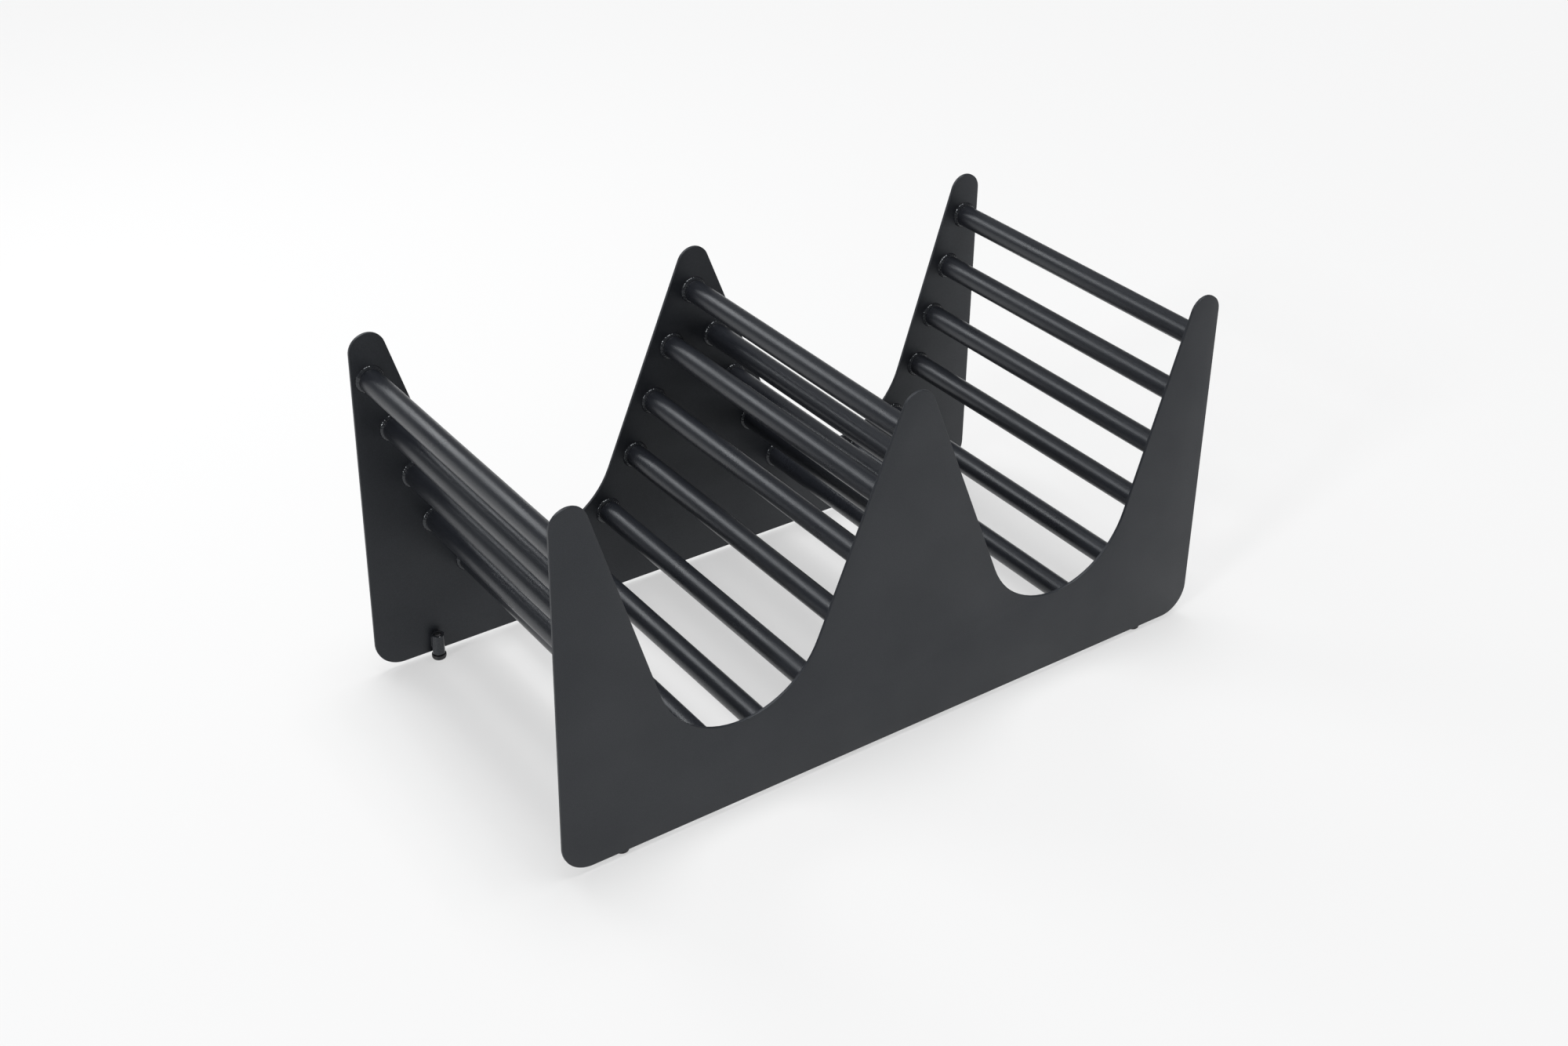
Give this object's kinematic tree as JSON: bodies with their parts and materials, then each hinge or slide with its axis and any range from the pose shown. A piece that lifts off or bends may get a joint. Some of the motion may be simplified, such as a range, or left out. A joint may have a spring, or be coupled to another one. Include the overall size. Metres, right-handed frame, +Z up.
{
  "type": "firewood log rack",
  "caption": "Low black steel firewood rack: two cut side plates with three peaks and two valleys, joined by round rails, on levelling screws.",
  "frame": {"origin": "on the floor under the middle of the rack, with the feet screwed fully in", "axes": "+X along the side plates, +Y from the front plate to the rear plate, +Z up"},
  "size_m": [0.61, 0.304, 0.305],
  "materials": {
    "plate_coat": "satin black powder coat with a fine sandy grain",
    "rail_coat": "satin black powder coat, a little darker, coated over the weld beads",
    "nut_coat": "smooth black coat over a machined hexagon nut",
    "black_screw": "black zinc plated steel",
    "glide_plastic": "matt black nylon"
  },
  "bodies": {
    "rack": {"side_plate_front": "plate_coat", "side_plate_rear": "plate_coat", "rail_01": "rail_coat", "rail_02": "rail_coat", "rail_03": "rail_coat", "rail_04": "rail_coat", "rail_05": "rail_coat", "rail_06": "rail_coat", "rail_07": "rail_coat", "rail_08": "rail_coat", "rail_09": "rail_coat", "rail_10": "rail_coat", "rail_11": "rail_coat", "rail_12": "rail_coat", "rail_13": "rail_coat", "rail_14": "rail_coat", "rail_15": "rail_coat", "rail_16": "rail_coat", "rail_17": "rail_coat", "rail_18": "rail_coat", "rail_19": "rail_coat", "rail_20": "rail_coat", "rail_21": "rail_coat", "rail_22": "rail_coat", "rail_23": "rail_coat", "rail_beads_front": "rail_coat", "rail_beads_rear": "rail_coat", "coupling_nut_front_left": "nut_coat", "coupling_nut_front_right": "nut_coat", "coupling_nut_rear_left": "nut_coat", "coupling_nut_rear_right": "nut_coat", "nut_beads_front": "rail_coat", "nut_beads_rear": "rail_coat"},
    "glide_front_left": {"glide_pad_front_left": "glide_plastic"},
    "screw_front_left": {"levelling_screw_front_left": "black_screw"},
    "glide_front_right": {"glide_pad_front_right": "glide_plastic"},
    "screw_front_right": {"levelling_screw_front_right": "black_screw"},
    "glide_rear_left": {"glide_pad_rear_left": "glide_plastic"},
    "screw_rear_left": {"levelling_screw_rear_left": "black_screw"},
    "glide_rear_right": {"glide_pad_rear_right": "glide_plastic"},
    "screw_rear_right": {"levelling_screw_rear_right": "black_screw"}
  },
  "joints": [
    {"name": "height_front_left", "type": "slide", "parent": "rack", "child": "glide_front_left", "axis": [0, 0, -1], "range_m": [0, 0.01]},
    {"name": "turn_front_left", "type": "hinge", "parent": "glide_front_left", "child": "screw_front_left", "pos_m": [-0.253, -0.1445, 0.003], "axis": [0, 0, -1], "range_deg": [0, 3610]},
    {"name": "height_front_right", "type": "slide", "parent": "rack", "child": "glide_front_right", "axis": [0, 0, -1], "range_m": [0, 0.01]},
    {"name": "turn_front_right", "type": "hinge", "parent": "glide_front_right", "child": "screw_front_right", "pos_m": [0.253, -0.1445, 0.003], "axis": [0, 0, -1], "range_deg": [0, 3610]},
    {"name": "height_rear_left", "type": "slide", "parent": "rack", "child": "glide_rear_left", "axis": [0, 0, -1], "range_m": [0, 0.01]},
    {"name": "turn_rear_left", "type": "hinge", "parent": "glide_rear_left", "child": "screw_rear_left", "pos_m": [-0.253, 0.1445, 0.003], "axis": [0, 0, -1], "range_deg": [0, 3610]},
    {"name": "height_rear_right", "type": "slide", "parent": "rack", "child": "glide_rear_right", "axis": [0, 0, -1], "range_m": [0, 0.01]},
    {"name": "turn_rear_right", "type": "hinge", "parent": "glide_rear_right", "child": "screw_rear_right", "pos_m": [0.253, 0.1445, 0.003], "axis": [0, 0, -1], "range_deg": [0, 3610]}
  ],
  "couplings": [
    {"joint": "turn_front_left", "follows": "height_front_left", "rad_per_m": 6283.2},
    {"joint": "turn_front_right", "follows": "height_front_right", "rad_per_m": 6283.2},
    {"joint": "turn_rear_left", "follows": "height_rear_left", "rad_per_m": 6283.2},
    {"joint": "turn_rear_right", "follows": "height_rear_right", "rad_per_m": 6283.2}
  ]
}
